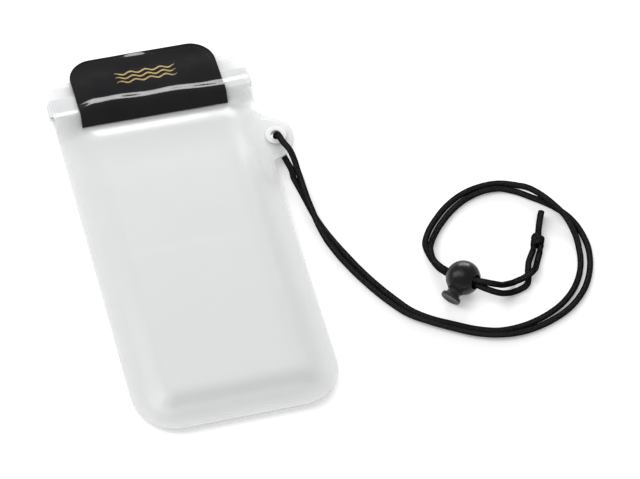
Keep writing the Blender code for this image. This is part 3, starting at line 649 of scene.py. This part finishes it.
def knotStrand(sign):
    spacing = (cord["diameter"] + cord["gap"]) / 2
    lower = cord["diameter"] / 2 - knot["place"][2]
    half, radius = knot["length"] / 2, knot["width"] / 2 - cord["diameter"] * knot["sunk"]
    points = [Vector((-half - knot["clear"] + 0.00005, sign * spacing, -0.00127)),
              Vector((-half + 0.0012, sign * spacing, -0.0006))]
    for i in range(knot["steps"] + 1):
        share = i / knot["steps"]
        angle = math.radians(90 - sign * 90 + knot["sweep"] * share)
        points.append(Vector((-half + knot["inset"] + share * (2 * half - 2 * knot["inset"]),
                              radius * math.cos(angle), radius * math.sin(angle))))
    height = lower + (0 if sign < 0 else 2 * spacing)
    points.append(Vector((half + 0.0008, 0.0002 * sign, height * 0.9)))
    points.append(Vector((half + knot["tail"] / 2, 0, height)))
    points.append(Vector((half + knot["tail"] - 0.0002 - 0.0006 * (sign > 0), -knot["drift"], height)))
    return smoothLine(points, knot["fine"])


def smoothLine(points, fine):
    lengths, slopes = slopesOf(points)
    line = []
    for i, length in enumerate(lengths):
        steps = max(1, math.ceil(length / fine))
        line += [between(points, slopes, lengths, i, step / steps) for step in range(steps)]
    return line + [points[-1]]


def cutEndSqueeze(share):
    return 0.9 + 0.1 * ramp(share, 0.45, 0.6) + 0.05 * ramp(share, 0.93, 1.0)


def makeKnot():
    made = []
    for name, sign in (("knotStrandLower", -1), ("knotStrandUpper", 1)):
        made.append(roundTube(name, knotStrand(sign), cord["diameter"], cord["around"], cutEndSqueeze))
    half, reach, steps = knot["wrapHalf"], knot["width"] / 2 - knot["wrapInset"], knot["wrapSteps"]
    wrap = []
    for i in range(steps + 1):
        angle = math.radians(knot["wrapFrom"] + knot["wrapSweep"] * i / steps)
        wrap.append(Vector((-half + 2 * half * i / steps + half * math.sin(angle),
                            reach * math.cos(angle), reach * math.sin(angle))))
    made.append(roundTube("knotTurn", wrap, cord["diameter"] * knot["wrapShare"], cord["around"]))
    for piece in made:
        piece.data.transform(knotPlace())
        wear(piece, cordBraid)
        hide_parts("cord_knot")
        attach(piece, "pouch")
    return made


knotPieces = makeKnot()
print("knot made")


# the films and flaps

pouch = {
    "width": 0.0945, "length": 0.1975, "bottomRadius": 0.0195, "mouthRadius": 0.0015, "weld": 0.0045,
    "film": 0.0004, "gap": 0.0003, "rim": 0.0030, "pocket": 0.0082,
    "sideRise": 0.0130, "bottomRise": 0.0130, "mouthRise": 0.0260, "grid": 0.0026,
    "wave": 0.00015, "waveScale": 0.03,
    # how the front film falls towards the mouth: by how much, from and to which y
    "frontFalls": ((0.0012, 0.0300, 0.0600), (0.0033, 0.0582, 0.0742)),
    # and how much lower its pocket lies towards the right and the mouth
    "lean": 0.22, "leanX": (-0.010, 0.035), "leanY": (0.000, 0.058),
}
ear = {"radius": 0.0136, "blend": 0.0030, "y": 0.0451, "lift": 0.0028, "ramp": 0.0060, "punch": 0.0033,
       "fade": 0.0120, "x": 0.04665, "flatX": 0.04645}
zipStrip = {"y": 0.0815, "width": 0.0090, "stack": 0.00335,
            # where the front film starts to rise on to the zip, nearer the bottom past the flap's sides
            "foot": 0.0695, "footSpread": 0.0055, "spreadFrom": 0.001, "spreadTo": 0.005, "full": 0.0752,
            "edge": 0.60, "edgeFade": 0.0014, "crest": 0.00072, "crestFade": 0.0017,
            "ridge": 0.07855, "ridgeLean": 0.0417}
flap = {"width": 0.0700, "rootY": 0.0695, "topY": 0.1065, "radius": 0.0115, "sheet": 0.0005,
        "strip": 0.0010, "drop": 0.0013, "turn": 0.0030, "restFrom": 0.0845, "restTo": 0.1065,
        "wave": 0.00050, "waveScale": 0.012, "waveStretch": 1.3, "waveLift": 0.35,
        "waveFadeIn": 0.002, "waveFadeOut": 0.008,
        "curl": 0.00062, "curlX": -0.0021, "curlWidth": 0.0065,
        "curlRise": (0.0960, 0.1030), "curlFall": (0.1036, 0.1068),
        # x and y of the flap's turn downwards over the zip, from left to right
        "turns": ((-0.0350, 0.0776), (-0.0275, 0.0805), (-0.0190, 0.0802),
                  (-0.0100, 0.0794), (0.0130, 0.0792), (0.0210, 0.0789), (0.0350, 0.0779))}
halfWidth, halfLength = pouch["width"] / 2, pouch["length"] / 2
pocketHalf = halfWidth - pouch["weld"]
pocketBottom = -halfLength + pouch["weld"]
pocketEnd = zipStrip["y"] - zipStrip["width"] / 2
zipFlat = zipStrip["width"] / 2 + pouch["gap"]
filmStep = pouch["film"] + pouch["gap"]


def rimForm(x, y):
    side = ramp(pocketHalf - abs(x), 0.0, pouch["sideRise"])
    return side * ramp(y - pocketBottom, 0.0, pouch["bottomRise"])


def pocketForm(x, y):
    return rimForm(x, y) * ramp(pocketEnd - y, 0.0, pouch["mouthRise"])


def earForm(x, y):
    across = ramp(x, ear["flatX"] - ear["ramp"], ear["flatX"])
    return across * (1.0 - ramp(abs(y - ear["y"]), ear["radius"], ear["radius"] + ear["fade"]))


def zipForm(x, y):
    side = flap["width"] / 2
    pastFlap = ramp(abs(x), side - zipStrip["spreadFrom"], side + zipStrip["spreadTo"])
    foot = zipStrip["foot"] - zipStrip["footSpread"] * pastFlap
    past = y - zipStrip["y"] - zipFlat
    down = zipStrip["edge"] * ramp(past, 0.0, zipStrip["edgeFade"])
    down += (1.0 - zipStrip["edge"]) * max(past, 0.0) / (halfLength - zipStrip["y"] - zipFlat)
    return min(ramp(y, foot, zipStrip["full"]), 1.0 - down)


def zipCrest(x, y):
    ridge = zipStrip["ridge"] + x * zipStrip["ridgeLean"]
    return zipStrip["crest"] * (1.0 - ramp(y, ridge - zipStrip["crestFade"], ridge + zipStrip["crestFade"]))


def ripple(x, y, scale, seed):
    return noise.noise(Vector((x / scale, y / scale, seed)))


def backLevel(x, y):
    loose = pocketForm(x, y)
    return pouch["rim"] * (1.0 - loose) + ear["lift"] * earForm(x, y)


def frontLevel(x, y):
    rim = pouch["rim"] + filmStep
    fallen = sum(fall * ramp(y, start, end) for fall, start, end in pouch["frontFalls"])
    pocket = pouch["pocket"] - rim - fallen
    pocket *= rimForm(x, y) * (1.0 - pouch["lean"] * ramp(x, *pouch["leanX"]) * ramp(y, *pouch["leanY"]))
    overZip = (zipStrip["stack"] + pouch["gap"] + zipCrest(x, y)) * zipForm(x, y)
    swell = pouch["wave"] * ripple(x, y, pouch["waveScale"], 3.1) * pocketForm(x, y)
    return rim + math.hypot(pocket, overZip) + swell + ear["lift"] * earForm(x, y)


def backFlapLevel(x, y):
    return backLevel(x, y) - pouch["gap"] - flap["sheet"]


def placeAt(rows, x):
    for (start, low), (end, high) in zip(rows, rows[1:]):
        if x < end:
            return low + (high - low) * (x - start) / (end - start)
    return rows[-1][1]


def frontFlapLevel(x, y):
    onStrips = backFlapLevel(x, y) + flap["sheet"] + 3 * pouch["gap"] + 2 * flap["strip"]
    overZip = pouch["rim"] + 2 * filmStep + zipStrip["stack"] + pouch["gap"]
    crest = overZip + flap["drop"]
    turn = placeAt(flap["turns"], x)
    start, end = turn - flap["turn"], turn + flap["turn"]
    if y < start:  # taut from its root up to the crest over the zip
        share = (y - flap["rootY"]) / (start - flap["rootY"])
        root = frontLevel(x, flap["rootY"]) + filmStep
        level = root + (crest - root) * math.sin(share * math.pi / 2)
    else:
        level = crest - flap["drop"] * ramp(y, start, end)
        level -= (overZip - onStrips) * ramp(y, flap["restFrom"], flap["restTo"])
    near = ramp(y, start - flap["waveFadeIn"], start + flap["waveFadeIn"])
    near *= 1.0 - ramp(y, end, end + flap["waveFadeOut"])
    ripples = ripple(x, y * flap["waveStretch"], flap["waveScale"], 7.7)
    swell = flap["wave"] * (ripples + flap["waveLift"]) * near
    curl = flap["curl"] * bell(x - flap["curlX"], flap["curlWidth"])
    curl *= ramp(y, *flap["curlRise"]) * (1.0 - ramp(y, *flap["curlFall"]))
    return max(level + max(swell, 0.0) + curl, frontLevel(x, y) + filmStep)


def edgeReach(x, y):
    inX = halfWidth - abs(x)
    inY = halfLength - abs(y)
    inside = min(inX, inY)
    if y < -halfLength + pouch["bottomRadius"] and abs(x) > halfWidth - pouch["bottomRadius"]:
        centre = Vector((halfWidth - pouch["bottomRadius"], -halfLength + pouch["bottomRadius"]))
        inside = pouch["bottomRadius"] - (Vector((abs(x), y)) - centre).length
    inEar = ear["radius"] - math.hypot(x - ear["x"], y - ear["y"])
    return max(inside, inEar)


def bodyOutline():
    innerX = halfWidth - pouch["bottomRadius"]
    lowY = -halfLength + pouch["bottomRadius"]
    blendX = halfWidth + ear["blend"]
    blendRise = math.sqrt((ear["radius"] + ear["blend"]) ** 2 - (blendX - ear["x"]) ** 2)
    turn = math.degrees(math.atan2(blendRise, blendX - ear["x"]))
    points = corner((-innerX, lowY), pouch["bottomRadius"], 180, 270, 16)
    points += corner((innerX, lowY), pouch["bottomRadius"], 270, 360, 16)
    points += corner((blendX, ear["y"] - blendRise), ear["blend"], 180, 180 - turn, 6)
    points += corner((ear["x"], ear["y"]), ear["radius"], -turn, turn, 30)[1:-1]
    points += corner((blendX, ear["y"] + blendRise), ear["blend"], 180 + turn, 180, 6)
    cornerX, cornerY = halfWidth - pouch["mouthRadius"], halfLength - pouch["mouthRadius"]
    points += corner((cornerX, cornerY), pouch["mouthRadius"], 0, 90, 4)
    return points + corner((-cornerX, cornerY), pouch["mouthRadius"], 90, 180, 4)


def flapOutline():
    half, centreY = flap["width"] / 2, flap["topY"] - flap["radius"]
    points = [(-half, flap["rootY"]), (half, flap["rootY"])]
    points += corner((half - flap["radius"], centreY), flap["radius"], 0, 90, 16)
    return points + corner((-half + flap["radius"], centreY), flap["radius"], 90, 180, 16)


def flapReach(x, y):
    half, radius = flap["width"] / 2, flap["radius"]
    inX, inTop = half - abs(x), flap["topY"] - y
    if inX < radius and inTop < radius:
        return radius - math.hypot(radius - inX, radius - inTop)
    return min(inX, inTop)


def layFilm(name, outline, columns, rows, level, reach, thickness):
    deselectAll()
    bpy.ops.mesh.primitive_circle_add(vertices=len(outline), radius=0.05, fill_type="NGON")
    piece = newest(name)
    for vertex, (x, y) in zip(piece.data.vertices, outline):
        vertex.co = (x, y, 0)
    editAll(piece)
    cuts = [((x, 0, 0), (1, 0, 0)) for x in columns] + [((0, y, 0), (0, 1, 0)) for y in rows]
    for place, direction in cuts:
        bpy.ops.mesh.select_all(action="SELECT")
        bpy.ops.mesh.bisect(plane_co=place, plane_no=direction, threshold=1e-7)
    leaveEdit()
    edge = piece.data.attributes.new("edge", "FLOAT", "POINT")
    for vertex in piece.data.vertices:
        x, y, _ = vertex.co
        edge.data[vertex.index].value = reach(x, y) * 1000
        vertex.co.z = level(x, y)
    wall = piece.modifiers.new("thickness", "SOLIDIFY")
    wall.thickness = thickness
    wall.offset = 1.0
    applyModifiers(piece)
    smooth(piece, 40)
    return piece


def gridSteps(*parts):
    steps = []
    for start, end, pitch in parts:
        steps += spread(start, end, max(1, round((end - start) / pitch)))
    return steps


# columns and rows of the meshes, each part: from, to, step
inset = 0.0006
filmGrid = {
    "columns": ((-halfWidth + inset, halfWidth - inset, pouch["grid"]),
                (halfWidth + 0.0012, halfWidth + 0.0125, 0.0014)),
    "rows": ((-halfLength + inset, 0.054, pouch["grid"]), (0.0552, 0.0690, 0.0011),
             (0.0695, 0.0868, 0.0004), (0.0880, halfLength - inset, 0.0016)),
}
flapGrid = {
    "columns": ((-0.0344, 0.0344, 0.0018),),
    "rows": ((0.0702, 0.0728, 0.0006), (0.0732, 0.0860, 0.0004), (0.0870, 0.1020, 0.0011),
             (0.1026, 0.1062, 0.0004)),
}


def punchEar(piece):
    deselectAll()
    bpy.ops.mesh.primitive_cylinder_add(vertices=48, radius=ear["punch"], depth=0.02,
                                        location=(*cord["eyelet"], 0.006))
    subtract(piece, bpy.context.object)


def makeFilms():
    columns, rows = gridSteps(*filmGrid["columns"]), gridSteps(*filmGrid["rows"])
    for name, nodeName, level in (("backFilm", "back_film", backLevel),
                                  ("frontFilm", "front_film", frontLevel)):
        piece = layFilm(name, bodyOutline(), columns, rows, level, edgeReach, pouch["film"])
        punchEar(piece)
        wear(piece, clearFilm)
        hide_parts(nodeName)
        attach(piece, "pouch")
        print(name, "made,", len(piece.data.polygons), "faces")


def makeFlaps():
    columns, rows = gridSteps(*flapGrid["columns"]), gridSteps(*flapGrid["rows"])
    for name, nodeName, level in (("backFlap", "back_flap", backFlapLevel),
                                  ("frontFlap", "front_flap", frontFlapLevel)):
        piece = layFilm(name, flapOutline(), columns, rows, level, flapReach, flap["sheet"])
        wear(piece, blackFlap)
        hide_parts(nodeName)
        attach(piece, "pouch")


makeFilms()
makeFlaps()
print("films and flaps made")


# the print on the flap: plain waves

waves = {"middle": (0.0006, 0.0916), "width": 0.0290, "rows": 3, "pitch": 0.0027, "line": 0.00095,
         "swing": 0.00070, "count": 4.0, "shift": 0.6, "ends": 0.35, "taper": 0.12,
         "lift": 0.00003, "ink": 0.00004}


def makePrint():
    made = []
    for row in range(waves["rows"]):
        deselectAll()
        bpy.ops.mesh.primitive_grid_add(x_subdivisions=160, y_subdivisions=1, size=1.0)
        line = newest("flapPrint")
        shift = (row - (waves["rows"] - 1) / 2) * waves["pitch"]
        for vertex in line.data.vertices:
            along, across = vertex.co.x, vertex.co.y
            width = waves["line"] * (waves["ends"] + 0.65 * ramp(0.5 - abs(along), 0.0, waves["taper"]))
            x = waves["middle"][0] + along * waves["width"]
            y = waves["middle"][1] + shift + across * width
            y += waves["swing"] * math.sin(math.tau * waves["count"] * along + row * waves["shift"])
            vertex.co = (x, y, frontFlapLevel(x, y) + flap["sheet"] + waves["lift"])
        made.append(line)
    deselectAll()
    for line in made:
        line.select_set(True)
    bpy.context.view_layer.objects.active = made[0]
    bpy.ops.object.join()
    piece = newest("flapPrint")
    wall = piece.modifiers.new("ink", "SOLIDIFY")
    wall.thickness = waves["ink"]
    wall.offset = 1.0
    applyModifiers(piece)
    wear(piece, goldPrint)
    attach(piece, "pouch")


makePrint()
print("print made")


# zip, strips and eyelet

for nodeName, finish in (("zip_rib_strip", zipPlastic), ("zip_channel_strip", zipPlastic),
                         ("hook_strip", hookTape), ("loop_strip", loopTape)):
    wear(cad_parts[nodeName], finish)

eyelet = {"hole": 0.0025, "wall": 0.0005, "rim": 0.0050, "flange": 0.0006, "low": 0.0049, "high": 0.0078,
          "soft": 0.00022, "slope": 0.0011, "slopeSink": 0.00006, "rimSink": 0.00004}


def makeEyelet():
    bore, barrel, rim = eyelet["hole"], eyelet["hole"] + eyelet["wall"], eyelet["rim"]
    high, soft, flange = eyelet["high"], eyelet["soft"], eyelet["flange"]
    half = corner((bore + soft, high - soft), soft, 180, 90, 4)
    half += [(rim - eyelet["slope"], high - eyelet["slopeSink"])]
    half += corner((rim - soft, high - soft - eyelet["rimSink"]), soft, 90, 0, 5)
    half += [(rim, high - flange), (barrel, high - flange)]
    middle = eyelet["low"] + eyelet["high"]
    profile = half + [(r, middle - z) for r, z in reversed(half)] + [half[0]]
    piece = turnedPiece("eyeletRing", profile, 64, Matrix.Translation((*cord["eyelet"], 0)))
    smooth(piece)
    wear(piece, eyeletPlastic)
    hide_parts("eyelet")
    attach(piece, "pouch")


makeEyelet()
print("eyelet made")


# the cord lock: ball, button and spring

ball = {"radius": 0.0080, "floor": -0.0070, "seat": 0.0026, "boreFloor": -0.0057, "bore": 0.00435,
        "lip": 0.0053, "mouth": 0.00345, "cordHole": 0.0034,
        "lipSoft": 0.00028, "seam": 0.00007, "seamHalf": 0.00012, "edge": 0.00018, "edgeAngle": 38}
button = {"travel": 0.0020, "head": 0.0047, "neck": 0.0032, "shaft": 0.0041, "top": 0.0121, "sheet": 0.0018,
          "shoulder": 0.0050, "endWall": 0.0009, "windowWidth": 0.0067, "play": 0.0004}
spring = {"wire": 0.00035, "turns": 2.5, "radius": 0.002125, "steps": 120}


def makeBall():
    radius, mouth = ball["radius"], ball["mouth"]
    start = math.degrees(math.acos(mouth / radius))
    outside = corner((0, 0), radius, start, -90, 44)
    outside[-1] = (0.0, -radius)
    rim = corner((mouth + ball["lipSoft"], outside[0][1] - 0.00012), ball["lipSoft"], 180, 65, 4)
    inside = [(0.0, ball["floor"]), (ball["seat"], ball["floor"]), (ball["seat"], ball["boreFloor"]),
              (ball["bore"], ball["boreFloor"]), (ball["bore"], ball["lip"]), (mouth, ball["lip"])]
    piece = turnedPiece("lockBall", inside + rim + outside[2:], 72)
    for vertex in piece.data.vertices:  # the mould's parting line, a fine groove
        if vertex.co.length > radius - 0.0001 and abs(vertex.co.y) < ball["seamHalf"]:
            vertex.co *= 1 - ball["seam"] / radius
    deselectAll()
    bpy.ops.mesh.primitive_cylinder_add(vertices=48, radius=ball["cordHole"], depth=0.03,
                                        rotation=(0, math.radians(90), 0))
    subtract(piece, bpy.context.object)
    soften = piece.modifiers.new("edges", "BEVEL")
    soften.width = ball["edge"]
    soften.segments = 2
    soften.limit_method = "ANGLE"
    soften.angle_limit = math.radians(ball["edgeAngle"])
    applyModifiers(piece)
    piece.data.transform(lockPlace())
    smooth(piece, 40)
    wear(piece, ballPlastic)
    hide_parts("lock_ball")
    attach(piece, "pouch")
    return piece


def makeButton():
    half = cord["diameter"] / 2 + button["play"]
    low, high = -half, half + button["travel"]
    top, head, neck, shaft = button["top"], button["head"], button["neck"], button["shaft"]
    under = top - button["sheet"]
    end = low - button["endWall"]
    profile = [(0.0, top - 0.00035), (head * 0.62, top - 0.00030), (head * 0.74, top - 0.00005)]
    profile += corner((head - 0.00045, top - 0.00045), 0.00045, 90, 0, 5)
    profile += corner((head - 0.00040, under + 0.00040), 0.00040, 0, -90, 4)
    profile += [(neck + 0.0004, under - 0.00004), (neck + 0.00008, under - 0.0004), (neck, under - 0.0009)]
    profile += [(neck, button["shoulder"]), (shaft, button["shoulder"]), (shaft, end + 0.0002)]
    profile += [(shaft - 0.0002, end), (0.0, end)]
    piece = turnedPiece("lockButton", profile, 56)
    deselectAll()
    bpy.ops.mesh.primitive_cube_add(size=1.0, location=(0, 0, (high + low) / 2),
                                    scale=(0.02, button["windowWidth"], high - low))
    subtract(piece, bpy.context.object)
    piece.data.transform(lockPlace())
    smooth(piece, 35)
    wear(piece, buttonPlastic)
    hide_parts("lock_button")
    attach(piece, "lock_button")
    return piece


def makeSpring():
    half = cord["diameter"] / 2 + button["play"]
    low = ball["floor"] + pouch["gap"] + spring["wire"] / 2
    high = -half - button["endWall"] - pouch["gap"] - spring["wire"] / 2
    steps, points = spring["steps"], []
    for i in range(steps + 1):
        angle = math.tau * spring["turns"] * i / steps
        points.append(Vector((spring["radius"] * math.cos(angle), spring["radius"] * math.sin(angle),
                              low + (high - low) * ramp(i / steps, 0, 1))))
    piece = roundTube("lockSpring", points, spring["wire"], 10)
    piece.data.transform(lockPlace())
    wear(piece, springSteel)
    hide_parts("lock_spring")
    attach(piece, "pouch")
    out = lockPlace().col[2].to_3d()
    anchor = lockPlace() @ Vector((0, 0, low - spring["wire"] / 2))
    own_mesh(piece)
    return piece


lockPieces = [makeBall(), makeButton(), makeSpring()]
print("cord lock made")

deselectAll()
